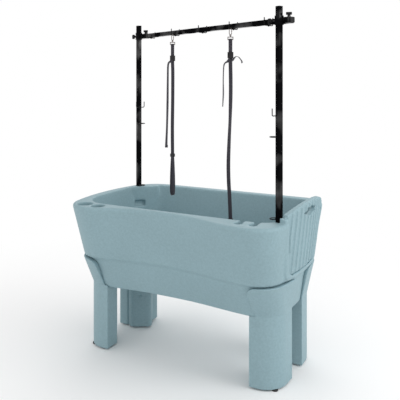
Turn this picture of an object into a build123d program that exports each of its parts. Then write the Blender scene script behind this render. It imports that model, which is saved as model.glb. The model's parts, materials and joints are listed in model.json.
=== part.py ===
from build123d import *
import math
import os

# A raised pet bathtub in millimetres. +Z is up, +X points to the end with the lift-out door, -Y is the
# scooped front. The origin is on the floor, under the middle of the bounding box.

# Moves every part so that the bounding box is centred on the origin
CENTRE_SHIFT = Pos(-1.28, 0.97, 0)

# Tub levels
RIM_Z = 798
WAIST_Z = 512
BOTTOM_Z = 339
BASIN_FLOOR_Z = 417

# Tub plan: half length, half width, corner radius left and right, bow of the ends, depth of the front scoop
RIM = (647, 418, 139, 88, 80, 100)
WAIST = (597, 337, 125, 90, 50, 67)
LOWER = (585, 325, 125, 90, 50, 64)
BOTTOM = (560, 244, 120, 90, 40, 34)
SCOOP_X = -50
SCOOP_HALF_LENGTH = 480
SCOOP_POWER = 1.25
SKIN = 5
RIM_ROUND = 13

# Basin plan at the rim and at its floor, in the same six numbers, and how far back each one sits
BASIN_TOP = (585, 317, 150, 120, 20, 0)
BASIN_FLOOR = (532, 228, 110, 100, 10, 0)
BASIN_TOP_Y = 37
BASIN_FLOOR_Y = 25

# Two cup wells and two keyhole slots in the front shelves: centre x, centre y, radius
CUPS = ((-505, -326, 42), (-412, -336, 37))
CUP_DEPTH = 45
KEYHOLES = (400, 474)
KEYHOLE_Y = -335
KEYHOLE_R = 20

# Door at the +X end, measured up its own leaning plane from the rim level
DOOR_TILT = 6.5
DOOR_FACE_X = 634
DOOR_BOW_R = 1200
DOOR_THICK = 24
DOOR_RIB = 6
DOOR_RIB_WIDTH = 15
DOOR_RIB_PITCH = 46
DOOR_RIBS = 10
DOOR_BOTTOM = -262
DOOR_CORNER = 55
DOOR_ENDS = 36
DOOR_CROWN = 72
DOOR_HALF_TOP = 248
DOOR_HALF_BOTTOM = 185
TONGUE = 12
DOOR_GAP = 1.5
FRAME_BEAD = 26
SILL = 8

# Legs: plan of the foot and the cuff, then where the foot's and the cuff's inner edges stand
LEG_FOOT = (569, 249, 100, 100, 12, 0)
LEG_CUFF = (603, 342, 128, 102, 48, 0)
LEG_INNER_X = 415
LEG_INNER_Y = 72
LEG_FRONT_DEPTH_Y = 160
LEG_SIDE_DEPTH_X = 515
LEG_FLARE_Z = 349
LEG_TOP_Z = 505
CUFF_INNER_X = 436
CUFF_INNER_Y = 72
BULGE_X = 450
BULGE_Y = 122
BULGE_TURN = 29
BULGE_WIDE = 133
BULGE_DEEP = 46
DIMPLE_LOW_Z = 190
DIMPLE_PITCH = 48
PAD_HEIGHT = 7
PAD_RADIUS = 15
PAD_PLACES = ((445, 205), (530, 205))
LEG_GAP = 0.3

# Posts, crossbar and clamps
TUBE = 25.4
TUBE_WALL = 1.6
POST_LEFT = (-568, 272)
POST_RIGHT = (558, -223)
POST_TOP_Z = RIM_Z + 1000
SOCKET_DEPTH = 64
SOCKET_GAP = 0.3
CAP = 3
BAR_Z = RIM_Z + 937
BAR_BEHIND = 28
BAR_PAST_LEFT = 31
BAR_PAST_RIGHT = 57
SLEEVE_GAP = 0.3
SLEEVE_WALL = 2
COLLAR_HEIGHT = 44
SLEEVE_LEFT = 16
SLEEVE_RIGHT = 52
STUD_R = 4
STUD_CLEARANCE = 0.05
POST_KNOB = (34, 18)
BAR_KNOB = (11, 8)
WING_SPAN = 28

# Hooks and rings of round wire
WIRE_R = 2.5
HOOK_HALF = 28.5
POST_HOOK_UP = 492
RING_UP = 392
RING_R = 17.5
BAR_HOOK_SHARES = (0.08, 0.29, 0.50, 0.71, 0.92)

# Leashes: share of the bar, noose bottom, noose height, level of the free tail's end
LEASHES = {1: (0.29, 790, 217, 1079), 2: (0.71, 609, 113, 1319)}
LEASH_TURN = 52.3
HANG_Y = -20
WEB = 20
WEB_THICK = 2.4
NOOSE_WIDTH = 38
SNAP_R = 2
LOOP_HALF = 9
LOOP_HEIGHT = 34
GATE_GAP = 0.8
GATE_PIVOT = 1.2

# Drain
DRAIN_X = -380
DRAIN_FLANGE_R = 40
DRAIN_R = 22.9
DRAIN_BORE_R = 18
SPIGOT_R = 16

BAR_ANGLE = math.degrees(math.atan2(POST_RIGHT[1] - POST_LEFT[1], POST_RIGHT[0] - POST_LEFT[0]))
SPAN = math.dist(POST_LEFT, POST_RIGHT)
BAR_FRAME = Pos(POST_LEFT[0], POST_LEFT[1], 0) * Rot(0, 0, BAR_ANGLE)
REAR_CORNER = Pos(POST_LEFT[0] - 16, POST_LEFT[1] + 16, 0) * Rot(0, 0, 45)
HANG_Z = BAR_Z - TUBE / 2 - WIRE_R
SNAP_TOP = WIRE_R + 0.1 + SNAP_R
SNAP_LOW = SNAP_TOP - LOOP_HEIGHT
BARREL_LOW = SNAP_LOW - 10
EYE_LOW = BARREL_LOW - 17


def scoop_share(x):
    """How much of the scoop's depth the front edge takes at x, from 0 to 1."""
    away = min(abs(x - SCOOP_X) / SCOOP_HALF_LENGTH, 1)
    return (1 + math.cos(math.pi * away ** SCOOP_POWER)) / 2


def outline(shape, z, grow=0.0, y=0.0):
    """A rounded rectangle with bowed ends and a scooped front, as a face at height z."""
    half_l, half_w, round_left, round_right, bow, scoop = shape
    side_x = half_l - bow
    rounds = {-1: round_left, 1: round_right}

    def bend(px, py):
        px += math.copysign(bow * (1 - (py / half_w) ** 2), px)
        if py < 0:
            py += scoop * scoop_share(px) * (-py / half_w)
        return (px * (1 + grow / half_l), py * (1 + grow / half_w) + y, z)

    def corner(sx, sy):
        radius = rounds[sx]
        cut = radius * (1 - math.sqrt(0.5))
        middle = (sx * (side_x - cut), sy * (half_w - cut))
        ends = [(sx * side_x, sy * (half_w - radius)), middle, (sx * (side_x - radius), sy * half_w)]
        return ThreePointArc(*[bend(*p) for p in (ends if sx * sy > 0 else reversed(ends))])

    right = Spline([bend(side_x, (half_w - round_right) * t) for t in (-1, -0.5, 0, 0.5, 1)])
    left = Spline([bend(-side_x, (half_w - round_left) * t) for t in (1, 0.5, 0, -0.5, -1)])
    back = Line(bend(side_x - round_right, half_w), bend(round_left - side_x, half_w))
    span = 2 * side_x - round_left - round_right
    front = Spline([bend(round_left - side_x + span * n / 8, -half_w) for n in range(9)])
    return make_face(right + corner(1, 1) + back + corner(-1, 1) + left + corner(-1, -1) + front + corner(1, -1))


def between(low, high, z_low, z_high, z):
    """The outline numbers at height z, between two outlines."""
    share = (z - z_low) / (z_high - z_low)
    return tuple(a + (b - a) * share for a, b in zip(low, high))


def box(x0, x1, y0, y1, z0, z1):
    """A box from its limits."""
    centre = Pos((x0 + x1) / 2, (y0 + y1) / 2, (z0 + z1) / 2)
    return centre * Box(abs(x1 - x0), abs(y1 - y0), abs(z1 - z0))


def rod(radius, z0, z1, x=0.0, y=0.0):
    """An upright cylinder from z0 to z1."""
    return Pos(x, y, z0) * Cylinder(radius, z1 - z0, align=(Align.CENTER, Align.CENTER, Align.MIN))


def lower_body(grow=0.0, top=WAIST_Z + 1):
    """The lower basin's outer form, below the waist ledge."""
    return loft([outline(BOTTOM, BOTTOM_Z - max(grow, 0), grow), outline(LOWER, top, grow)])


def upper_body(grow=0.0, top=RIM_Z):
    """The upper wall's outer form, from the waist ledge to the rim."""
    end = between(WAIST, RIM, WAIST_Z, RIM_Z, top)
    return loft([outline(WAIST, WAIST_Z, grow), outline(end, top, grow)])


def basin(grow=0.0):
    """The hollow that holds the pet, open at the rim."""
    floor = outline(BASIN_FLOOR, BASIN_FLOOR_Z - grow, grow, y=BASIN_FLOOR_Y)
    top = outline(BASIN_TOP, RIM_Z + 1, grow, y=BASIN_TOP_Y)
    return loft([floor, top])


def corner_blocks(grow=0.0):
    """The two thick corners that carry the posts: rear left and front right."""
    rear = REAR_CORNER * box(-120, 120, -64 - grow, 90, BOTTOM_Z + 20, RIM_Z + 5)
    front = box(POST_RIGHT[0] - 14 - grow, 700, -500, POST_RIGHT[1] + 70 + grow, BOTTOM_Z + 20, RIM_Z + 5)
    return [rear, front]


def door_plane():
    """The door's leaning plane: local X runs along +Y, local Y up the door, local Z outwards."""
    lean = math.radians(DOOR_TILT)
    return Plane(origin=(DOOR_FACE_X, 0, RIM_Z), x_dir=(0, 1, 0), z_dir=(math.cos(lean), 0, -math.sin(lean)))


def door_profile(grow=0.0, top=None):
    """The door's outline: tapered sides, rounded lower corners and an arched top, or an open top."""
    low = DOOR_BOTTOM - grow
    wide = DOOR_HALF_TOP + grow
    narrow = DOOR_HALF_BOTTOM + grow
    if top is None:
        ends = DOOR_ENDS
        crown = ThreePointArc((wide, ends), (0, DOOR_CROWN + grow), (-wide, ends))
    else:
        slope = (DOOR_HALF_TOP - DOOR_HALF_BOTTOM) / (DOOR_ENDS - DOOR_BOTTOM)
        ends = top
        wide += slope * (top - DOOR_ENDS)
        crown = Line((wide, ends), (-wide, ends))
    sides = Line((-wide, ends), (-narrow, low)) + Line((-narrow, low), (narrow, low)) + Line((narrow, low), (wide, ends))
    face = make_face(crown + sides)
    corners = face.vertices().sort_by(Axis.Y)[:2]
    return fillet(corners, DOOR_CORNER)


def door_slab(grow, inside, outside, top=None):
    """The door's outline as a gently bowed slab between two depths, in the door's own plane."""
    sheet = Cylinder(DOOR_BOW_R + outside, 1200) - Cylinder(DOOR_BOW_R + inside, 1200)
    return extrude(Pos(0, 0, -150) * door_profile(grow, top), 250) & (Pos(0, 0, -DOOR_BOW_R) * Rot(90, 0, 0) * sheet)


def door_solid(grow, inside, outside, top=None):
    """The same slab standing in its place in the tub."""
    return door_plane() * door_slab(grow, inside, outside, top)


def drain_places():
    """The axis of the drain."""
    return Pos(DRAIN_X, 0, 0)


def tub_hollow():
    """The space between the two skins of the moulded wall, with a floor under its wider upper part."""
    ledge = WAIST_Z + SKIN
    low = lower_body(-SKIN, ledge + 1) & box(-700, 700, -500, 500, BOTTOM_Z + SKIN, ledge + 1)
    high = upper_body(-SKIN - 1, RIM_Z - 10) & box(-700, 700, -500, 500, ledge, RIM_Z - 10)
    hollow = low + high - basin(SKIN)
    for block in corner_blocks(SKIN):
        hollow -= block & box(-700, 700, -500, 500, RIM_Z - 130, RIM_Z + 5)
    hollow -= door_solid(FRAME_BEAD + 8, -75, 40, 60)
    hollow -= box(-565, -358, -480, -200, RIM_Z - CUP_DEPTH - 15, RIM_Z)
    hollow -= box(360, 515, -480, -200, RIM_Z - 72, RIM_Z)
    return hollow - rod(56, BOTTOM_Z - 1, BASIN_FLOOR_Z, DRAIN_X, 0)


def keyhole(x):
    """One shelf notch: a neck open to the basin and a rounder end."""
    neck = box(x - 13.5, x + 13.5, KEYHOLE_Y, -200, RIM_Z - 60, RIM_Z + 5)
    return neck + rod(KEYHOLE_R, RIM_Z - 60, RIM_Z + 5, x, KEYHOLE_Y)


def tub_shell():
    """The moulded tub: two skins, a rolled rim, shelves, post sockets and the door opening."""
    body = fillet(upper_body().edges().group_by(Axis.Z)[-1], RIM_ROUND) + lower_body()
    body += door_solid(FRAME_BEAD, -DOOR_THICK - 4, 5, 22)
    hollow_basin = basin()
    for block in corner_blocks():
        hollow_basin -= block
    body -= hollow_basin
    body -= tub_hollow()
    for x, y, radius in CUPS:
        body -= rod(radius, RIM_Z - CUP_DEPTH, RIM_Z + 5, x, y)
    for x in KEYHOLES:
        body -= keyhole(x)
    body -= door_solid(DOOR_GAP, -DOOR_THICK - DOOR_GAP, 60, 90)
    body -= door_solid(DOOR_GAP + TONGUE, -DOOR_THICK + 7, -DOOR_THICK + 19, 90)
    body -= door_solid(-SILL, -95, -DOOR_THICK, 90) - corner_blocks()[1]
    half = TUBE / 2 + SOCKET_GAP
    for x, y in (POST_LEFT, POST_RIGHT):
        socket = box(-half, half, -half, half, RIM_Z - SOCKET_DEPTH, RIM_Z + 5)
        body -= Pos(x, y, 0) * Rot(0, 0, BAR_ANGLE) * socket
    body -= REAR_CORNER * box(-32, 32, -80, -44, 678, 714)
    for sign in (-1, 1):
        body += [box(-440 + 80 * n, -432 + 80 * n, sign * 30, sign * 150, BASIN_FLOOR_Z - 1, BASIN_FLOOR_Z + 3)
                 for n in range(2, 12)]
    well = rod(48, BOTTOM_Z - 5, BASIN_FLOOR_Z - 12)
    seat = rod(DRAIN_FLANGE_R + 0.5, BASIN_FLOOR_Z - 4, BASIN_FLOOR_Z + 5)
    body -= drain_places() * (well + seat + rod(DRAIN_R + 0.05, BOTTOM_Z, BASIN_FLOOR_Z))
    return body - rod(20, BOTTOM_Z - 5, BOTTOM_Z + 20)


def end_door():
    """The lift-out door: a tapered panel with side tongues, upright ribs and a hand slot."""
    tongue = door_slab(TONGUE, -DOOR_THICK + 7.5, -DOOR_THICK + 18.5)
    door = door_slab(0, -DOOR_THICK, -1) + (tongue & box(-400, 400, -400, DOOR_ENDS - 12, -60, 60))
    first = -DOOR_RIB_PITCH * (DOOR_RIBS - 1) / 2
    raised = door_slab(-8, -3, DOOR_RIB)
    for n in range(DOOR_RIBS):
        centre = first + DOOR_RIB_PITCH * n
        door += raised & box(centre - DOOR_RIB_WIDTH / 2, centre + DOOR_RIB_WIDTH / 2, -400, 400, -60, 60)
    slot = make_face(ThreePointArc((-85, 20), (0, 42), (85, 20)) + ThreePointArc((85, 20), (0, -5), (-85, 20)))
    return door_plane() * (door - extrude(Pos(0, 0, -60) * fillet(slot.vertices(), 6), 120))


def leg_plan(sx, sy, inset):
    """The foot's inner side: a front flange, a slanted web and an end flange, with a boss on the rear legs."""
    inner_x = LEG_INNER_X + inset
    inner_y = LEG_INNER_Y + inset
    points = [(inner_x, 500), (inner_x, LEG_FRONT_DEPTH_Y), (LEG_SIDE_DEPTH_X, inner_y), (800, inner_y), (800, 500)]
    region = make_face(Polyline(*[(sx * x, sy * y) for x, y in points], close=True))
    if sy > 0:
        boss = RectangleRounded(BULGE_WIDE - 2 * inset, 2 * (BULGE_DEEP - inset), 24)
        region += Pos(sx * BULGE_X, BULGE_Y) * Rot(0, 0, -sx * BULGE_TURN) * boss
    return region


def leg_column(sx, sy, z_low, z_high, inset):
    """The foot's column between two levels, shrunk by an inset."""
    column = extrude(outline(LEG_FOOT, z_low, -inset), z_high - z_low)
    return column & extrude(Pos(0, 0, z_low) * leg_plan(sx, sy, inset), z_high - z_low)


def cuff_side(inner, far):
    """The cuff's outline across one direction: upright at its inner edge, with a rounded upper corner."""
    points = [(inner, LEG_FLARE_Z - 69), (inner, LEG_TOP_Z), (far, LEG_TOP_Z), (far, LEG_FLARE_Z - 69)]
    side = make_face(Polyline(*points, close=True))
    return fillet(side.vertices().sort_by_distance((inner, LEG_TOP_Z))[0], 46)


def leg(sx, sy):
    """One corner leg: a hollow foot that flares into a cuff around the lower basin's corner."""
    across = extrude(Plane.XZ * cuff_side(CUFF_INNER_X, 800), 900, both=True)
    along = extrude(Plane.YZ * cuff_side(CUFF_INNER_Y, 500), 900, both=True)
    if sx < 0:
        across = mirror(across, Plane.YZ)
    if sy < 0:
        along = mirror(along, Plane.XZ)
    cuff = loft([outline(LEG_FOOT, LEG_FLARE_Z), outline(LEG_CUFF, LEG_TOP_Z)]) & across & along
    body = leg_column(sx, sy, PAD_HEIGHT, LEG_FLARE_Z + 1, 0) + cuff - lower_body(LEG_GAP)
    body -= leg_column(sx, sy, PAD_HEIGHT + SKIN, BOTTOM_Z - 2 * SKIN, SKIN)
    body -= rod(6, 0, 40, sx * 480, sy * 160)
    if sy > 0:
        boss = Pos(sx * BULGE_X, BULGE_Y, 0) * Rot(0, 0, -sx * BULGE_TURN)
        for n in range(3):
            body -= boss * Pos(0, -BULGE_DEEP, DIMPLE_LOW_Z + DIMPLE_PITCH * n) * Rot(90, 0, 0) * Cylinder(9, 20)
    return body.solids().sort_by(SortBy.VOLUME)[-1]


def foot_pads():
    """Two rubber pads under each leg."""
    return [rod(PAD_RADIUS, 0, PAD_HEIGHT, sx * x, sy * y) for sx in (-1, 1) for sy in (-1, 1) for x, y in PAD_PLACES]


def square_tube(length):
    """A square tube standing on z = 0."""
    outer = extrude(RectangleRounded(TUBE, TUBE, 2.5), length)
    inner = extrude(RectangleRounded(TUBE - 2 * TUBE_WALL, TUBE - 2 * TUBE_WALL, 1), length)
    return outer - inner


def tube_cap():
    """A plastic cap on a tube end at z = 0, with its plug below."""
    plug = TUBE - 2 * TUBE_WALL - 0.2
    lid = extrude(RectangleRounded(TUBE, TUBE, 2.5), CAP)
    return lid + extrude(RectangleRounded(plug, plug, 1), -12)


def post():
    """One post in the bar frame, standing in its socket."""
    low = RIM_Z - SOCKET_DEPTH
    return Pos(0, 0, low) * square_tube(POST_TOP_Z - low)


def wire(path):
    """Round wire along a path."""
    start = path ^ 0
    return sweep(Plane(origin=start.position, z_dir=(path % 0)) * Circle(WIRE_R), path=path)


def u_wire(x, half, low, high):
    """A U of wire across the bar direction, centred on y = 0."""
    corner = 7
    path = FilletPolyline((x, -half, high), (x, -half, low), (x, half, low), (x, half, high), radius=corner)
    return wire(path)


def post_hook():
    """A U hook on the post's inner side, on a small plate."""
    face = TUBE / 2
    low = RIM_Z + POST_HOOK_UP
    plate = box(face, face + 2, -10, 10, low - 8, low + 8)
    return plate + u_wire(face + 1.5 + WIRE_R, HOOK_HALF, low, low + 35)


def tie_ring(z):
    """A flat ring on an eye bolt on the post's inner side."""
    face = TUBE / 2
    ring = Pos(face + 6 + RING_R, 0, z) * Torus(RING_R, WIRE_R)
    stem = Pos(face, 0, z) * Rot(0, 90, 0) * Cylinder(3, 9, align=(Align.CENTER, Align.CENTER, Align.MIN))
    washer = Pos(face, 0, z) * Rot(0, 90, 0) * Cylinder(7, 2, align=(Align.CENTER, Align.CENTER, Align.MIN))
    return ring + stem + washer


def on_both_posts(solid):
    """The same fitting on both posts, each facing the other post."""
    turned = Pos(SPAN, 0, 0) * Rot(0, 0, 180) * solid
    return [BAR_FRAME * solid, BAR_FRAME * turned]


def clamp_body():
    """A clamp at the origin of one post: a collar on the post and a sleeve behind it for the bar."""
    inner = TUBE / 2 + SLEEVE_GAP
    outer = inner + SLEEVE_WALL
    collar = box(-outer, outer, -outer, outer, -COLLAR_HEIGHT / 2, COLLAR_HEIGHT / 2)
    sleeve = box(-SLEEVE_LEFT, SLEEVE_RIGHT, BAR_BEHIND - outer, BAR_BEHIND + outer, -outer, outer)
    boss = Pos(-outer, 0, 0) * Rot(0, -90, 0) * Cylinder(8, 6, align=(Align.CENTER, Align.CENTER, Align.MIN))
    top_boss = rod(8, outer, outer + 6, 36, BAR_BEHIND)
    clamp = collar + sleeve + boss + top_boss
    clamp -= box(-inner, inner, -inner, inner, -60, 60)
    clamp -= box(-60, 90, BAR_BEHIND - inner, BAR_BEHIND + inner, -inner, inner)
    clamp -= Pos(-30, 0, 0) * Rot(0, 90, 0) * Cylinder(STUD_R + STUD_CLEARANCE, 40)
    return clamp - rod(STUD_R + STUD_CLEARANCE, 0, 60, 36, BAR_BEHIND)


def wing_knob(stud, hub):
    """A wing knob on its stud: the stud's tip is at z = 0 and the wings stand across X."""
    top = stud - 2 + hub
    return rod(STUD_R, 0, stud) + rod(7, stud - 2, top) + Pos(0, 0, top - 5) * extrude(SlotOverall(WING_SPAN, 13), 12)


def clamp_knobs():
    """The two knobs of a clamp: one against the post's side, one down on the bar."""
    tip = TUBE / 2 + 0.1
    on_post = Pos(-tip, 0, 0) * Rot(0, -90, 0) * wing_knob(*POST_KNOB)
    on_bar = Pos(36, BAR_BEHIND, tip) * Rot(0, 0, 35) * wing_knob(*BAR_KNOB)
    return {"post_knob": on_post, "bar_knob": on_bar}


def crossbar():
    """The square crossbar behind the posts."""
    turn = Pos(-BAR_PAST_LEFT, BAR_BEHIND, BAR_Z) * Rot(0, 90, 0)
    return turn * square_tube(SPAN + BAR_PAST_LEFT + BAR_PAST_RIGHT)


def bar_end_caps():
    """Plastic caps in both ends of the crossbar."""
    right = Pos(SPAN + BAR_PAST_RIGHT, BAR_BEHIND, BAR_Z) * Rot(0, 90, 0) * tube_cap()
    left = Pos(-BAR_PAST_LEFT, BAR_BEHIND, BAR_Z) * Rot(0, -90, 0) * tube_cap()
    return [left, right]


def bar_hooks():
    """U hooks under the bar, one prong in front and one behind."""
    low = -TUBE / 2 - WIRE_R
    hook = u_wire(0, HOOK_HALF, low, TUBE / 2 + 10)
    hook -= Pos(0, 0, low) * Cylinder(1.6, 12)
    return [Pos(SPAN * share, BAR_BEHIND, BAR_Z) * hook for share in BAR_HOOK_SHARES]


def bar_hook_rivets():
    """Rivet heads that hold the U hooks under the bar."""
    low = -TUBE / 2
    rivet = rod(1.5, low - 2 * WIRE_R - 1, low) + rod(4, low - 2 * WIRE_R - 2.5, low - 2 * WIRE_R)
    return [Pos(SPAN * share, BAR_BEHIND, BAR_Z) * rivet for share in BAR_HOOK_SHARES]


def hang_place(number):
    """Where a leash hangs: on the front lower corner of its U hook."""
    return Pos(SPAN * LEASHES[number][0], BAR_BEHIND + HANG_Y, HANG_Z)


def snap_hook():
    """A spring snap: an open loop over the hook wire and a swivel barrel under it."""
    high = SNAP_TOP - LOOP_HALF
    low = SNAP_LOW + LOOP_HALF
    over = ThreePointArc((LOOP_HALF, 0, high), (0, 0, SNAP_TOP), (-LOOP_HALF, 0, high))
    under = ThreePointArc((-LOOP_HALF, 0, low), (0, 0, SNAP_LOW), (LOOP_HALF, 0, low))
    path = Wire([over.edge(), Line((-LOOP_HALF, 0, high), (-LOOP_HALF, 0, low)).edge(), under.edge()])
    loop = sweep(Plane(origin=(LOOP_HALF, 0, high), z_dir=(0, 0, 1)) * Circle(SNAP_R), path=path)
    barrel = rod(5, SNAP_LOW - 8, SNAP_LOW + 1) - rod(2.55, SNAP_LOW - 9, SNAP_LOW - 2)
    return loop + barrel


def snap_gate():
    """The spring gate that closes the snap's open side, pinned at its lower end."""
    low = SNAP_LOW + LOOP_HALF + GATE_GAP
    high = SNAP_TOP - LOOP_HALF - 0.4
    thumb = Pos(LOOP_HALF + 2.5, 0, (low + high) / 2) * Rot(0, 90, 0) * Cylinder(1.5, 4)
    rivet = Pos(LOOP_HALF, 0, low + GATE_PIVOT) * Rot(90, 0, 0) * Cylinder(1, 5)
    return rod(SNAP_R - 0.2, low, high, LOOP_HALF, 0) + thumb + rivet


def swivel_eye():
    """The swivel: a pin in the snap's barrel and a flat eye for the webbing."""
    pin = rod(2.5, BARREL_LOW - 3, SNAP_LOW - 2.2)
    frame = box(-15, 15, -2.5, 2.5, EYE_LOW, BARREL_LOW)
    return pin + frame - box(-11, 11, -5, 5, EYE_LOW + 4, BARREL_LOW - 4)


def web_run(x0, z0, x1, z1, y):
    """A flat run of webbing from (x0, z0) down to (x1, z1), facing along y."""
    lean = math.degrees(math.atan2(x0 - x1, z0 - z1))
    length = math.dist((x0, z0), (x1, z1))
    return Pos((x0 + x1) / 2, y, (z0 + z1) / 2) * Rot(0, lean, 0) * Box(WEB, WEB_THICK, length)


def slider_level(number):
    """The height of the noose slider's centre below the hang point."""
    _, noose_low, noose_height, _ = LEASHES[number]
    return noose_low + noose_height + 16 - HANG_Z


def leash_strap(number):
    """The webbing: the long run, the noose and the free tail that leaves it above the adjuster."""
    _, noose_low, noose_height, tail_low = LEASHES[number]
    low = noose_low - HANG_Z
    top = low + noose_height
    run = web_run(0, EYE_LOW - 0.5, 0, top, 0)
    middle = Pos(0, 0, low + noose_height / 2) * Rot(90, 0, 0)
    band = SlotOverall(noose_height, NOOSE_WIDTH, rotation=90)
    hole = SlotOverall(noose_height - 2 * WEB_THICK, NOOSE_WIDTH - 2 * WEB_THICK, rotation=90)
    noose = extrude(middle * (band - hole), WEB / 2, both=True)
    knot = box(-WEB / 2, WEB / 2, -WEB_THICK / 2, WEB_THICK / 2, top - 4, top + 2)
    tail = web_run(0, -100, -38, tail_low - HANG_Z, -7)
    turn = box(-WEB / 2, WEB / 2, -7 - WEB_THICK / 2, 0, -104, -101)
    return run + noose + knot + tail + turn


def strap_buckle():
    """The adjuster near the top of a leash: a frame around the webbing with a middle bar in front."""
    outer = box(-15, 15, -4, 4, -150, -118)
    return outer - box(-WEB / 2 - 0.4, WEB / 2 + 0.4, -WEB_THICK / 2 - 0.4, WEB_THICK / 2 + 0.4, -160, -100)


def noose_slider(number):
    """The slide that tightens the noose."""
    level = slider_level(number)
    outer = box(-14, 14, -3.5, 3.5, level - 9, level + 9)
    return outer - box(-WEB / 2 - 0.4, WEB / 2 + 0.4, -WEB_THICK / 2 - 0.4, WEB_THICK / 2 + 0.4, level - 20, level + 20)


def drain_body():
    """The drain: a flange in the basin floor, a tail through it, a cross strainer and a hose spigot."""
    top = BASIN_FLOOR_Z
    body = rod(DRAIN_FLANGE_R, top - 4, top) + rod(DRAIN_R, BOTTOM_Z, top - 4)
    body += rod(SPIGOT_R, BOTTOM_Z - 45, BOTTOM_Z)
    body -= rod(DRAIN_BORE_R, top - 30, top + 1) + rod(SPIGOT_R - 3, BOTTOM_Z - 46, top)
    cross = box(-DRAIN_BORE_R - 1, DRAIN_BORE_R + 1, -1.5, 1.5, top - 28, top - 25)
    return body + cross + Rot(0, 0, 90) * cross


def drain_gasket():
    """The rubber ring under the basin floor."""
    return rod(32, BASIN_FLOOR_Z - 15, BASIN_FLOOR_Z - 12) - rod(DRAIN_R + 0.1, 0, BASIN_FLOOR_Z)


def drain_nut():
    """The hexagon nut that pulls the drain down on its gasket."""
    top = BASIN_FLOOR_Z - 15
    block = extrude(Pos(0, 0, top) * RegularPolygon(33, 6), -14)
    return block - rod(DRAIN_R + 0.05, 0, BASIN_FLOOR_Z)


def drain_plug():
    """The rubber stopper with a pull knob."""
    top = BASIN_FLOOR_Z
    return rod(DRAIN_BORE_R - 0.1, top - 16, top + 0.2) + rod(25, top + 0.2, top + 4) + rod(5, top + 3, top + 16)


def build():
    """Every part in its place, by node name."""
    parts = {"tub_shell": tub_shell(), "end_door": end_door(), "foot_pads": foot_pads()}
    for side, sx in (("left", -1), ("right", 1)):
        parts[f"leg_front_{side}"] = leg(sx, -1)
        parts[f"leg_rear_{side}"] = leg(sx, 1)
    drain = {"drain_body": drain_body(), "drain_gasket": drain_gasket(), "drain_nut": drain_nut(),
             "drain_plug": drain_plug()}
    for name, solid in drain.items():
        parts[name] = drain_places() * solid
    for side, x in (("left", 0), ("right", SPAN)):
        at_post = BAR_FRAME * Pos(x, 0, 0)
        parts[f"post_{side}"] = at_post * post()
        parts[f"post_cap_{side}"] = at_post * Pos(0, 0, POST_TOP_Z) * tube_cap()
        at_clamp = at_post * Pos(0, 0, BAR_Z)
        parts[f"clamp_{side}"] = at_clamp * clamp_body()
        for name, knob in clamp_knobs().items():
            parts[f"{name}_{side}"] = at_clamp * knob
    parts["post_hooks"] = on_both_posts(post_hook())
    parts["upper_tie_rings"] = on_both_posts(tie_ring(RIM_Z + RING_UP))
    parts["base_tie_rings"] = on_both_posts(tie_ring(RIM_Z + 8))
    parts["crossbar"] = BAR_FRAME * crossbar()
    for name, group in (("bar_end_caps", bar_end_caps()), ("bar_hooks", bar_hooks()),
                        ("bar_hook_rivets", bar_hook_rivets())):
        parts[name] = [BAR_FRAME * solid for solid in group]
    for number in LEASHES:
        hang = BAR_FRAME * hang_place(number)
        turned = hang * Rot(0, 0, LEASH_TURN)
        parts[f"snap_hook_{number}"] = hang * snap_hook()
        parts[f"snap_gate_{number}"] = hang * snap_gate()
        parts[f"swivel_eye_{number}"] = turned * swivel_eye()
        parts[f"leash_strap_{number}"] = turned * leash_strap(number)
        parts[f"strap_buckle_{number}"] = turned * strap_buckle()
        parts[f"noose_slider_{number}"] = turned * noose_slider(number)
    return parts


os.makedirs("parts", exist_ok=True)
for name, part in build().items():
    items = part if isinstance(part, list) else [part]
    solids = [CENTRE_SHIFT * solid for item in items for solid in item.solids()]
    export_step(Compound(children=solids) if len(solids) > 1 else solids[0], f"parts/{name}.step")
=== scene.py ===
"""Looks of the raised pet bath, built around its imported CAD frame. Metres, +Z up, floor at z = 0."""
import json
import math
import bmesh
import bpy
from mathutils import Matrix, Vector
from mathutils.bvhtree import BVHTree

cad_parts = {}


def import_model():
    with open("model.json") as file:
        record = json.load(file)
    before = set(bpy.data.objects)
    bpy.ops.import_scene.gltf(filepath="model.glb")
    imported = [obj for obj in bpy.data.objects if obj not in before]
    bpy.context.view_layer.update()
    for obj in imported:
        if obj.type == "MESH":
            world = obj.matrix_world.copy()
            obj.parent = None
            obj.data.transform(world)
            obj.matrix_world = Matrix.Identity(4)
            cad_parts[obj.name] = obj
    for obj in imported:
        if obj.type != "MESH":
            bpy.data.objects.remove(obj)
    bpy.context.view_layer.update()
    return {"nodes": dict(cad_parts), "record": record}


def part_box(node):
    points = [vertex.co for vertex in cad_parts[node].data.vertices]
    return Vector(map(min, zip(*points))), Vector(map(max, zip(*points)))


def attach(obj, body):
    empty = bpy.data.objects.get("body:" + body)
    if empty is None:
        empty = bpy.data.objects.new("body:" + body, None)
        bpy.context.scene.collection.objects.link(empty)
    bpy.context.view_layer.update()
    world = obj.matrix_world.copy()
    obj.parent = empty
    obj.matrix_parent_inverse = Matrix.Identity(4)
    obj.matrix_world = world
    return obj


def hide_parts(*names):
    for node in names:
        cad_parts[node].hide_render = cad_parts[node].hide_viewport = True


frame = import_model()
nodes = frame["nodes"]

# Camera, level, with its view shifted down to take in the legs
CAMERA_AT = (1.5613, -2.8339, 1.4482)
CAMERA_TURN = 0.499            # radians about +Z
CAMERA_LENS = 53.71            # mm
CAMERA_SENSOR = 36.0           # mm
CAMERA_SHIFT = -0.29505        # share of the frame's width
CAMERA_PLACE_TOLERANCE = 0.001

# Directions that the hanging straps are laid out along
ACROSS = Vector((math.cos(CAMERA_TURN), math.sin(CAMERA_TURN), 0))
AWAY = Vector((-math.sin(CAMERA_TURN), math.cos(CAMERA_TURN), 0))
UP = Vector((0, 0, 1))

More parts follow.
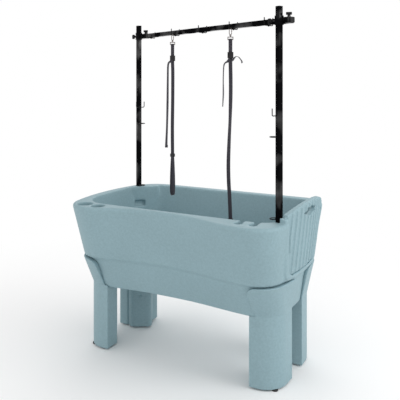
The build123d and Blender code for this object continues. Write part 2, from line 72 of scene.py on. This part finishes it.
# Webbing
WEB_WIDTH = 0.0195
WEB_THICK = 0.0021
SECTION_POINTS = 5             # across one face of the tape
SECTION_FLAT = 0.96            # share of the width before the rounded selvedge
SECTION_FALL = 0.22            # how far the face falls towards its edges, in thicknesses
PATH_STEP = 0.006
NOOSE_TURN = math.radians(30)
NOOSE_DEPTH = 0.034
NOOSE_STEPS = 48

# Stitching: a box with a cross in it
STITCH_HALF = 0.0065
STITCH_DASH = 0.0028
STITCH_WIDE, STITCH_THICK = 0.0009, 0.0008
STITCH_SIDES = 6
STITCH_AWAY = -0.0030

# The vents of the wall voids: the tub's is at the moulding's centre, each leg's is off to a corner
CENTRE = (-0.00128, 0.00097)
TUB_VENT_RADIUS = 0.024
LEG_VENT = (0.480, 0.160)
LEG_VENT_RADIUS = 0.009
VENT_CAP = 0.0052              # just past the inner face of the 5 mm wall
CAP_SIDES = 16

# Which faces count as outside
RAY_COUNT = 96
RAY_START = 0.0006
RAY_GRAZING = 0.03             # cosine below which a ray runs too close to the face
RAYS_NEEDED = 3
ISLAND_SHARE = 0.01            # of the whole area

# Moulded pieces: remesh size and rounds of smoothing
TUB_VOXEL, TUB_ROUNDS, TUB_KEEP = 0.0055, 6, 0.55
WAIST_BAND = (0.492, 0.534, 10)     # lowest and highest z, extra rounds
DOOR_VOXEL, DOOR_ROUNDS = 0.0035, 2
LEG_VOXEL, LEG_ROUNDS = 0.0032, 4
SMOOTHING = 0.5

# Hard pieces: the width of their eased edges
WELD = 1e-5
EASE_SEGMENTS = 2
EASE_ANGLE = math.radians(38)
EASED = {
    "post_left": 0.0012, "post_right": 0.0012, "crossbar": 0.0012,
    "clamp_left": 0.0010, "clamp_right": 0.0010,
    "strap_buckle_1": 0.0007, "strap_buckle_2": 0.0007,
    "noose_slider_1": 0.0009, "noose_slider_2": 0.0009,
    "swivel_eye_1": 0.0006, "swivel_eye_2": 0.0006,
}

# Floor and light
FLOOR_HALF = 60
FADE_START, FADE_END = 0.75, 2.6    # the floor turns plain white between these distances
SKY_LIGHT = 0.86
LIGHT_TARGET = (0, 0, 0.6)


# ---------------------------------------------------------------- materials
class Shader:
    """A Principled material with short helpers for adding and joining nodes."""

    def __init__(self, name, **inputs):
        self.material = bpy.data.materials.new(name)
        self.material.use_nodes = True
        self.tree = self.material.node_tree
        self.surface = self.tree.nodes["Principled BSDF"]
        for key, value in inputs.items():
            self.surface.inputs[key.replace("_", " ")].default_value = value

    def add(self, kind, inputs=None, **settings):
        node = self.tree.nodes.new("ShaderNode" + kind)
        for key, value in settings.items():
            setattr(node, key, value)
        for key, value in (inputs or {}).items():
            if isinstance(value, bpy.types.NodeSocket):
                self.tree.links.new(value, node.inputs[key])
            else:
                node.inputs[key].default_value = value
        return node

    def noise(self, where, scale, detail=2.0):
        return self.add("TexNoise", {"Vector": where, "Scale": scale, "Detail": detail}).outputs["Fac"]

    def ramp(self, value, low, high, start=0.3, end=0.7):
        node = self.add("ValToRGB", {"Fac": value})
        for stop, colour, at in zip(node.color_ramp.elements, (low, high), (start, end)):
            stop.color = (*colour, 1)
            stop.position = at
        return node.outputs["Color"]

    def range(self, value, low, high, start=0.0, end=1.0):
        limits = {"From Min": start, "From Max": end, "To Min": low, "To Max": high}
        return self.add("MapRange", {"Value": value, **limits}).outputs["Result"]

    def sharp_edge_share(self, start, end, share):
        """A share that rises from none on flat faces to full on sharp outer edges."""
        sharpness = self.add("NewGeometry").outputs["Pointiness"]
        return self.range(sharpness, 0.0, share, start, end)

    def blend(self, share, first, second, mode="MIX"):
        node = self.add("MixRGB", {"Fac": share, "Color1": first, "Color2": second}, blend_type=mode)
        return node.outputs["Color"]

    def bump(self, height, depth, strength=1.0):
        node = self.add("Bump", {"Height": height, "Distance": depth, "Strength": strength})
        self.tree.links.new(node.outputs["Normal"], self.surface.inputs["Normal"])

    def to(self, key, value):
        self.tree.links.new(value, self.surface.inputs[key])


def scaled(colour, share):
    return tuple(channel * share for channel in colour)


def moulded_plastic():
    """Rotomoulded shell: mottled blue-grey with a fine matt grain, and paler sharp edges that are partly wear
    and partly a painted rim highlight.
    """
    colour = (0.262, 0.386, 0.426)
    s = Shader("moulded_shell", Specular_IOR_Level=0.35)
    where = s.add("TexCoord").outputs["Object"]
    grain = s.noise(where, 330, 3)
    mottle = s.noise(where, 95, 4)
    cloud = s.noise(where, 4)
    base = s.ramp(grain, scaled(colour, 0.90), scaled(colour, 1.10), 0.32, 0.68)
    base = s.blend(0.45, base, s.ramp(mottle, scaled(colour, 0.86), scaled(colour, 1.13), 0.35, 0.65))
    base = s.blend(0.25, base, s.ramp(cloud, scaled(colour, 0.90), scaled(colour, 1.08)))
    # Paler sharp edges: partly wear and mould flash lines, partly a painted rim highlight.
    base = s.blend(s.sharp_edge_share(0.515, 0.60, 0.35), base, (*scaled(colour, 1.45), 1))
    s.to("Base Color", base)
    s.to("Roughness", s.range(mottle, 0.46, 0.64))
    s.bump(grain, 0.00045, 0.5)
    return s.material


def coated(name, colour, rough, grain, depth, metallic=0.0, gloss=(0.3, 0.3), worn=1.8):
    """Coated or plain small parts: a colour that drifts, patchy roughness and gloss, and a fine grain."""
    s = Shader(name, Metallic=metallic)
    where = s.add("TexCoord").outputs["Object"]
    fine = s.noise(where, grain, 3)
    patch = s.noise(where, grain / 14, 4)
    base = s.ramp(patch, scaled(colour, 0.75), scaled(colour, 1.3), 0.3, 0.75)
    s.to("Base Color", s.blend(s.sharp_edge_share(0.53, 0.64, 0.6), base, (*scaled(colour, worn), 1)))
    s.to("Roughness", s.range(patch, rough * 0.75, rough * 1.3))
    s.to("Specular IOR Level", s.range(s.noise(where, 9, 2), gloss[0], gloss[1], 0.50, 0.70))
    s.bump(fine, depth, 0.4)
    return s.material


def woven_tape():
    """Woven nylon tape: crossing yarns laid out in metres along and across each strip."""
    colour = (0.038, 0.035, 0.046)
    s = Shader("webbing", Sheen_Weight=0.35, Sheen_Roughness=0.5, Specular_IOR_Level=0.25)
    laid = s.add("UVMap", uv_map="laid").outputs["UV"]
    along = s.add("TexWave", {"Vector": laid, "Scale": 130.0}, bands_direction="Y")
    across = s.add("TexWave", {"Vector": laid, "Scale": 210.0}, bands_direction="X")
    woven = s.blend(1.0, along.outputs["Color"], across.outputs["Color"], "MULTIPLY")
    fuzz = s.noise(laid, 900, 3)
    base = s.blend(woven, (*scaled(colour, 0.55), 1), (*scaled(colour, 1.7), 1))
    base = s.blend(0.3, base, s.ramp(fuzz, scaled(colour, 0.6), scaled(colour, 1.6)))
    s.to("Base Color", base)
    s.to("Roughness", s.range(fuzz, 0.72, 0.95))
    s.bump(woven, 0.0004, 0.8)
    return s.material


MATERIALS = {
    "moulded_shell": moulded_plastic(),
    "rubber_parts": coated("rubber_parts", (0.03, 0.03, 0.03), 0.8, 1200, 0.0003),
    "drain_plastic": coated("drain_plastic", (0.05, 0.05, 0.055), 0.5, 900, 0.0002),
    "black_tube": coated("black_tube", (0.0035, 0.0035, 0.004), 0.16, 1100, 0.00006,
                         gloss=(0.0, 0.6), worn=3.0),
    "black_plastic": coated("black_plastic", (0.006, 0.006, 0.0065), 0.36, 900, 0.00015, gloss=(0.08, 0.3)),
    "black_wire": coated("black_wire", (0.006, 0.006, 0.0065), 0.3, 1300, 0.0001,
                         gloss=(0.08, 0.4), worn=3.0),
    "knob_plastic": coated("knob_plastic", (0.007, 0.007, 0.008), 0.5, 1100, 0.0002, gloss=(0.1, 0.25)),
    "snap_metal": coated("snap_metal", (0.20, 0.175, 0.165), 0.3, 700, 0.0001, metallic=1.0, worn=1.6),
    "webbing": woven_tape(),
    "slider_plastic": coated("slider_plastic", (0.020, 0.020, 0.022), 0.45, 1000, 0.0002),
}
GUNMETAL = coated("dark_buckle", (0.030, 0.028, 0.030), 0.35, 900, 0.0001, metallic=0.6, gloss=(0.1, 0.3))
THREAD = coated("stitch_thread", (0.11, 0.105, 0.12), 0.7, 1800, 0.0002)

for row in frame["record"]["subparts"]:
    held = nodes[row["node"]].data.materials
    for index in range(len(held)):
        held[index] = GUNMETAL if "strap_buckle" in row["node"] else MATERIALS[row["material_slot"]]


# ---------------------------------------------------------------- mesh tools
def new_object(name, mesh, slot_name, body, *stands_for):
    """A piece that rides on a body, and stands for the CAD nodes named."""
    obj = bpy.data.objects.new(name, mesh)
    bpy.context.scene.collection.objects.link(obj)
    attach(obj, body)
    if stands_for:
        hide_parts(*stands_for)
    return obj


def sphere_directions(count):
    """Evenly spread directions, on a golden-angle spiral."""
    golden = math.pi * (3 - math.sqrt(5))
    found = []
    for i in range(count):
        z = 1 - (2 * i + 1) / count
        r = math.sqrt(1 - z * z)
        found.append(Vector((r * math.cos(golden * i), r * math.sin(golden * i), z)))
    return found


DIRECTIONS = sphere_directions(RAY_COUNT)


def sees_outside(tree, face):
    """Whether several rays leave the face: a single one may slip between two thin triangles."""
    start = face.calc_center_median() + face.normal * RAY_START
    escaped = 0
    for direction in DIRECTIONS:
        if direction.dot(face.normal) > RAY_GRAZING and tree.ray_cast(start, direction)[0] is None:
            escaped += 1
            if escaped == RAYS_NEEDED:
                return True
    return False


def small_islands(faces, limit):
    """The faces that belong to connected groups with less than the limit of area."""
    left, small = set(faces), set()
    while left:
        group, open_faces = set(), [left.pop()]
        while open_faces:
            face = open_faces.pop()
            group.add(face)
            for edge in face.edges:
                for other in edge.link_faces:
                    if other in left:
                        left.remove(other)
                        open_faces.append(other)
        if sum(face.calc_area() for face in group) < limit:
            small |= group
    return small


def capped_tree(bm, vent):
    """The mesh to cast rays at, with a disc across the vent that opens the wall void."""
    capped = bm.copy()
    (x, y, z), radius = vent
    turns = [2 * math.pi * side / CAP_SIDES for side in range(CAP_SIDES)]
    capped.faces.new([capped.verts.new((x + radius * math.cos(turn), y + radius * math.sin(turn), z))
                      for turn in turns])
    tree = BVHTree.FromBMesh(capped)
    capped.free()
    return tree


def outer_skin(mesh, vent):
    """A copy of the mesh without the wall void's faces, closed again where they met the outside."""
    bm = bmesh.new()
    bm.from_mesh(mesh)
    bmesh.ops.remove_doubles(bm, verts=bm.verts, dist=WELD)
    bm.normal_update()
    tree = capped_tree(bm, vent)
    limit = ISLAND_SHARE * sum(face.calc_area() for face in bm.faces)
    hidden = {face for face in bm.faces if not sees_outside(tree, face)}
    hidden -= small_islands(hidden, limit)
    hidden |= small_islands(set(bm.faces) - hidden, limit)
    bmesh.ops.delete(bm, geom=list(hidden), context="FACES")
    bmesh.ops.holes_fill(bm, edges=[edge for edge in bm.edges if edge.is_boundary], sides=0)
    bmesh.ops.recalc_face_normals(bm, faces=bm.faces)
    copy = bpy.data.meshes.new(mesh.name + "_skin")
    bm.to_mesh(copy)
    bm.free()
    return copy


def applied(obj):
    """The object's mesh with its modifiers applied, and the object without them."""
    bpy.context.view_layer.update()
    graph = bpy.context.evaluated_depsgraph_get()
    mesh = bpy.data.meshes.new_from_object(obj.evaluated_get(graph))
    obj.modifiers.clear()
    obj.data = mesh
    return mesh


def smoothed(obj, rounds, group=""):
    """The object's mesh after some rounds of smoothing, along with any modifiers already on it."""
    smooth = obj.modifiers.new("smooth", "SMOOTH")
    smooth.factor = SMOOTHING
    smooth.iterations = rounds
    smooth.vertex_group = group
    return applied(obj)


def soft_group(obj, low, high):
    """The name of a vertex group that is strongest halfway between two heights."""
    group = obj.vertex_groups.new(name="soft")
    middle, half = (low + high) / 2, (high - low) / 2
    for vertex in obj.data.vertices:
        share = 1 - abs(vertex.co.z - middle) / half
        if share > 0:
            group.add([vertex.index], min(1, 2 * share), "REPLACE")
    return group.name


def moulded(node, body, voxel, rounds, vent=None, keep=1.0, soft_band=None):
    """A shell piece with the soft edges of rotomoulding, made from its CAD node."""
    skin = outer_skin(nodes[node].data, vent) if vent else nodes[node].data.copy()
    obj = new_object(node + "_moulded", skin, "moulded_shell", body, node)
    remesh = obj.modifiers.new("remesh", "REMESH")
    remesh.mode = "VOXEL"
    remesh.voxel_size = voxel
    mesh = smoothed(obj, rounds)
    if soft_band:
        low, high, extra = soft_band
        mesh = smoothed(obj, extra, soft_group(obj, low, high))
    if keep < 1:
        thin = obj.modifiers.new("thin", "DECIMATE")
        thin.ratio = keep
        mesh = applied(obj)
    mesh.materials.clear()
    mesh.materials.append(MATERIALS["moulded_shell"])
    mesh.shade_smooth()


def eased(node, width):
    """Small rounded edges on a hard CAD node, as modifiers, so that its own mesh stays."""
    obj = nodes[node]
    weld = obj.modifiers.new("weld", "WELD")
    weld.merge_threshold = WELD
    bevel = obj.modifiers.new("ease", "BEVEL")
    bevel.width = width
    bevel.segments = EASE_SEGMENTS
    bevel.limit_method = "ANGLE"
    bevel.angle_limit = EASE_ANGLE
    bevel.use_clamp_overlap = True


# ---------------------------------------------------------------- the moulded shell and the steel
def vent_cap(node, x_side, y_side):
    """Where the vent in the bottom of a piece is capped; the sides are 0 for the tub, -1 or 1 for a leg."""
    return (CENTRE[0] + x_side * LEG_VENT[0], CENTRE[1] + y_side * LEG_VENT[1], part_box(node)[0].z + VENT_CAP)


moulded("tub_shell", "tub", TUB_VOXEL, TUB_ROUNDS, (vent_cap("tub_shell", 0, 0), TUB_VENT_RADIUS),
        TUB_KEEP, WAIST_BAND)
moulded("end_door", "door", DOOR_VOXEL, DOOR_ROUNDS)
for end, x_side in (("left", -1), ("right", 1)):
    for face, y_side in (("front", -1), ("rear", 1)):
        leg = f"leg_{face}_{end}"
        moulded(leg, "tub", LEG_VOXEL, LEG_ROUNDS, (vent_cap(leg, x_side, y_side), LEG_VENT_RADIUS))
for node, width in EASED.items():
    eased(node, width)


# ---------------------------------------------------------------- webbing
def smooth_path(points):
    """Catmull-Rom curve through (across, away, height, turn) points, at roughly even steps."""
    found = []
    padded = [points[0]] + points + [points[-1]]
    for i in range(1, len(padded) - 2):
        a, b, c, d = (Vector(padded[i + k]) for k in (-1, 0, 1, 2))
        length = (c - b).xyz.length
        count = max(2, int(length / PATH_STEP))
        for k in range(count):
            t = k / count
            point = 0.5 * (2 * b + (c - a) * t + (2 * a - 5 * b + 4 * c - d) * t * t
                           + (3 * b - a - 3 * c + d) * t * t * t)
            found.append(point)
    found.append(Vector(padded[-1]))
    return found


def tape_section():
    """The tape's outline, one unit wide and thick: slightly crowned faces and rounded selvedges."""
    face = []
    for k in range(SECTION_POINTS):
        x = -0.5 + k / (SECTION_POINTS - 1)
        face.append((x * SECTION_FLAT, 0.5 - SECTION_FALL * (2 * abs(x)) ** 3))
    return face + [(0.5, 0.0)] + [(x, -y) for x, y in reversed(face)] + [(-0.5, 0.0)]


def placed(hang, point):
    """A path point in space: across and away from where the leash hangs, at its own height."""
    return hang + ACROSS * point[0] + AWAY * point[1] + UP * (point[2] - hang.z)


def strip(bm, layer, hang, path, closed=False, width=WEB_WIDTH, thick=WEB_THICK):
    """One woven tape swept along the path."""
    section = tape_section()
    centres = [placed(hang, point) for point in path]
    count = len(centres)
    rings, run = [], 0.0
    for i, centre in enumerate(centres):
        before = centres[(i - 1) % count] if closed or i else centre
        after = centres[(i + 1) % count] if closed or i < count - 1 else centre
        along = (after - before).normalized()
        turn = path[i][3]
        side = ACROSS * math.cos(turn) + AWAY * math.sin(turn)
        side = (side - along * side.dot(along)).normalized()
        face = along.cross(side)
        if i:
            run += (centre - centres[i - 1]).length
        ring = [bm.verts.new(centre + side * (x * width) + face * (y * thick)) for x, y in section]
        rings.append((ring, run))
    pairs = list(zip(rings, rings[1:]))
    if closed:
        pairs.append((rings[-1], (rings[0][0], run + (centres[0] - centres[-1]).length)))
    size = len(section)
    for (low, start), (high, end) in pairs:
        for k in range(size):
            n = (k + 1) % size
            quad = bm.faces.new((low[k], low[n], high[n], high[k]))
            quad.smooth = True
            ends = ((section[k][0], start), (section[n][0], start),
                    (section[n][0], end), (section[k][0], end))
            for loop, (u, v) in zip(quad.loops, ends):
                loop[layer].uv = (u * width, v)
    if not closed:
        for ring in (rings[0][0], rings[-1][0]):
            bm.faces.new(ring)


def stitches(bm, layer, hang, low, high):
    """A box of thread dashes with a cross in it, standing slightly proud of the tape."""
    corners = [(-STITCH_HALF, low), (STITCH_HALF, low), (STITCH_HALF, high), (-STITCH_HALF, high)]
    lines = [(corners[i], corners[(i + 1) % 4]) for i in range(4)]
    lines += [(corners[0], corners[2]), (corners[1], corners[3])]
    for (x0, z0), (x1, z1) in lines:
        length = math.hypot(x1 - x0, z1 - z0)
        count = max(2, int(length / (STITCH_DASH * 1.6)))
        for i in range(count):
            a, b = (i + 0.2) / count, (i + 0.8) / count
            path = [(x0 + (x1 - x0) * t, STITCH_AWAY, z0 + (z1 - z0) * t, 0.0) for t in (a, (a + b) / 2, b)]
            if abs(x1 - x0) > abs(z1 - z0):
                thread_bar(bm, hang, path)
            else:
                strip(bm, layer, hang, path, width=STITCH_WIDE, thick=STITCH_THICK)


def thread_bar(bm, hang, path):
    """A thread dash that runs mostly across the tape."""
    rings = []
    for point in path:
        centre = placed(hang, point)
        ring = []
        for k in range(STITCH_SIDES):
            a = 2 * math.pi * k / STITCH_SIDES
            ring.append(bm.verts.new(centre + UP * (STITCH_WIDE / 2 * math.cos(a))
                                     + AWAY * (STITCH_THICK / 2 * math.sin(a))))
        rings.append(ring)
    for low, high in zip(rings, rings[1:]):
        for k in range(STITCH_SIDES):
            n = (k + 1) % STITCH_SIDES
            bm.faces.new((low[k], low[n], high[n], high[k]))
    bm.faces.new(rings[0])
    bm.faces.new(rings[-1])


def finish_mesh(bm, name, material):
    """A mesh made from the bmesh, with its normals outward and one material."""
    bmesh.ops.recalc_face_normals(bm, faces=bm.faces)
    mesh = bpy.data.meshes.new(name)
    bm.to_mesh(mesh)
    bm.free()
    mesh.materials.append(material)
    return mesh


def noose_path(low, high):
    """A hanging loop, narrow at the slider and full at its lower end."""
    found = []
    middle = (low + high) / 2
    half = (high - low) / 2 - WEB_THICK / 2
    for i in range(NOOSE_STEPS):
        a = 2 * math.pi * i / NOOSE_STEPS
        height = math.cos(a)
        full = 0.5 - 0.30 * height
        depth = NOOSE_DEPTH / 2 * full * 1.5 * math.copysign(abs(math.sin(a)) ** 0.7, math.sin(a))
        sway = -depth * math.sin(NOOSE_TURN)
        found.append((sway, depth * math.cos(NOOSE_TURN), middle + half * height, NOOSE_TURN))
    return found


def leash(number, main, tails):
    """The webbing and stitching of one leash: folded round its eye, through the buckle and slider.

    The main run, and each tail with its width, are given as points: across, away, height, turn."""
    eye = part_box(f"swivel_eye_{number}")
    buckle_low, buckle_high = (corner.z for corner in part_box(f"strap_buckle_{number}"))
    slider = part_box(f"noose_slider_{number}")
    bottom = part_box(f"leash_strap_{number}")[0].z
    middle = (eye[0] + eye[1]) / 2
    hang = Vector((middle.x, middle.y, eye[0].z))
    bm = bmesh.new()
    layer = bm.loops.layers.uv.new("laid")
    bar = eye[0].z + 0.0018    # the middle of the eye's lower bar
    fold = [(0, 0.0019, buckle_high - 0.028, 0), (0, 0.0019, buckle_high + 0.02, 0),
            (0, 0.0030, bar - 0.004, 0), (0, 0.0037, bar, 0), (0, 0.0024, bar + 0.0030, 0),
            (0, 0, bar + 0.0041, 0), (0, -0.0024, bar + 0.0030, 0), (0, -0.0037, bar, 0),
            (0, -0.0026, bar - 0.006, 0), (0, -0.0008, buckle_high + 0.02, 0),
            (0, 0, buckle_low - 0.01, 0)]
    noose_top = slider[0].z + 0.004
    path = smooth_path(fold + main + [(0, 0, slider[1].z, 0), (0, 0, noose_top, 0.1)])
    strip(bm, layer, hang, path)
    strip(bm, layer, hang, noose_path(bottom, noose_top), closed=True)
    for tail, width in tails:
        strip(bm, layer, hang, smooth_path(tail), width=width)
    mesh = finish_mesh(bm, f"webbing_{number}", MATERIALS["webbing"])
    new_object(f"webbing_{number}", mesh, "webbing", f"leash_{number}", f"leash_strap_{number}")
    bm = bmesh.new()
    layer = bm.loops.layers.uv.new("laid")
    stitches(bm, layer, hang, buckle_high + 0.010, buckle_high + 0.046)
    mesh = finish_mesh(bm, f"stitching_{number}", THREAD)
    new_object(f"stitching_{number}", mesh, "webbing", f"leash_{number}")


leash(1,
      [(0.0015, 0, 1.50, 0.05), (0.001, 0, 1.35, -0.10), (-0.001, 0, 1.18, 0.08)],
      [([(-0.002, -0.0030, 1.572, 0), (-0.012, -0.006, 1.5665, 0.5), (-0.021, -0.007, 1.560, 0.9),
         (-0.026, -0.006, 1.537, 1.0), (-0.0275, -0.004, 1.45, 0.95), (-0.029, -0.002, 1.32, 0.85),
         (-0.032, -0.002, 1.19, 0.95), (-0.0355, -0.003, 1.10, 0.8), (-0.036, -0.003, 1.072, 0.6),
         (-0.0345, -0.006, 1.069, 0.6), (-0.0345, -0.0072, 1.082, 0.6)], WEB_WIDTH * 0.92)])
leash(2,
      [(0.0015, 0, 1.45, 0.05), (0.001, 0, 1.36, 0.15), (-0.002, 0, 1.25, 0.55),
       (-0.007, 0, 1.14, 0.40), (-0.0105, 0, 1.03, 0.10), (-0.009, 0, 0.94, 0), (-0.004, 0, 0.85, 0)],
      [([(-0.002, -0.0030, 1.566, 0), (-0.014, -0.006, 1.5535, 0.6), (-0.027, -0.008, 1.546, 1.0),
         (-0.0345, -0.008, 1.527, 1.2), (-0.037, -0.006, 1.46, 1.25), (-0.0365, -0.004, 1.39, 1.15),
         (-0.0397, -0.004, 1.322, 1.3)], WEB_WIDTH * 0.9),
       ([(0.002, -0.0034, 1.556, 0), (0.012, -0.006, 1.562, 0.5), (0.022, -0.008, 1.574, 0.95),
         (0.032, -0.009, 1.579, 1.1), (0.043, -0.009, 1.574, 1.1), (0.053, -0.009, 1.562, 1.1),
         (0.0595, -0.008, 1.549, 1.0), (0.0555, -0.007, 1.5455, 0.9)], WEB_WIDTH * 0.8)])


# ---------------------------------------------------------------- stage, light and camera
def floor():
    """A pale floor that takes shadows near the tub and fades to plain white further out."""
    bm = bmesh.new()
    bmesh.ops.create_grid(bm, x_segments=8, y_segments=8, size=FLOOR_HALF)
    s = Shader("pale_floor", Roughness=0.9, Specular_IOR_Level=0.1, Base_Color=(0.93, 0.93, 0.93, 1))
    place = s.add("NewGeometry").outputs["Position"]
    distance = s.add("VectorMath", {0: place}, operation="LENGTH").outputs["Value"]
    far = s.range(distance, 0.0, 1.0, FADE_START, FADE_END)
    white = s.add("Emission", {"Color": (1, 1, 1, 1), "Strength": 1.0})
    mixed = s.add("MixShader", {0: far, 1: s.surface.outputs["BSDF"], 2: white.outputs["Emission"]})
    output = s.tree.nodes["Material Output"]
    s.tree.links.new(mixed.outputs["Shader"], output.inputs["Surface"])
    obj = bpy.data.objects.new("floor", finish_mesh(bm, "floor", s.material))
    bpy.context.scene.collection.objects.link(obj)


def world():
    """An even white sky: plain white to the camera, a little dimmer as light."""
    sky = bpy.data.worlds.new("studio")
    bpy.context.scene.world = sky
    sky.use_nodes = True
    tree = sky.node_tree
    tree.nodes.clear()
    seen, lit = (tree.nodes.new("ShaderNodeBackground") for _ in range(2))
    for node, strength in ((seen, 1.0), (lit, SKY_LIGHT)):
        node.inputs["Strength"].default_value = strength
        node.inputs["Color"].default_value = (1, 1, 1, 1)
    path = tree.nodes.new("ShaderNodeLightPath")
    mix = tree.nodes.new("ShaderNodeMixShader")
    output = tree.nodes.new("ShaderNodeOutputWorld")
    tree.links.new(path.outputs["Is Camera Ray"], mix.inputs[0])
    tree.links.new(lit.outputs[0], mix.inputs[1])
    tree.links.new(seen.outputs[0], mix.inputs[2])
    tree.links.new(mix.outputs[0], output.inputs["Surface"])


def softbox(name, at, size, watts):
    """A round area light turned to the middle of the tub."""
    light = bpy.data.lights.new(name, "AREA")
    light.shape = "DISK"
    light.size = size
    light.energy = watts
    obj = bpy.data.objects.new(name, light)
    obj.location = at
    aim = Vector(LIGHT_TARGET) - Vector(at)
    obj.rotation_euler = aim.to_track_quat("-Z", "Y").to_euler()
    bpy.context.scene.collection.objects.link(obj)


def camera():
    """A level camera whose shift holds only at its own place, so that any other view is centred."""
    data = bpy.data.cameras.new("photo_view")
    data.lens = CAMERA_LENS
    data.sensor_width = CAMERA_SENSOR
    obj = bpy.data.objects.new("photo_view", data)
    obj.location = CAMERA_AT
    obj.rotation_euler = (math.pi / 2, 0, CAMERA_TURN)
    bpy.context.scene.collection.objects.link(obj)
    bpy.context.scene.camera = obj
    driver = data.driver_add("shift_y").driver
    driver.type = "SCRIPTED"
    place = driver.variables.new()
    place.name = "x"
    place.type = "TRANSFORMS"
    place.targets[0].id = obj
    place.targets[0].transform_type = "LOC_X"
    place.targets[0].transform_space = "WORLD_SPACE"
    driver.expression = f"{CAMERA_SHIFT} if abs(x - {CAMERA_AT[0]}) < {CAMERA_PLACE_TOLERANCE} else 0.0"


floor()
world()
softbox("key", (3.8, 0.2, 2.9), 2.6, 60)
softbox("fill", (-1.2, -2.6, 0.5), 2.5, 4)
softbox("back", (-1.5, 2.8, 3.4), 3.0, 22)
camera()
bpy.context.scene.view_settings.view_transform = "Standard"
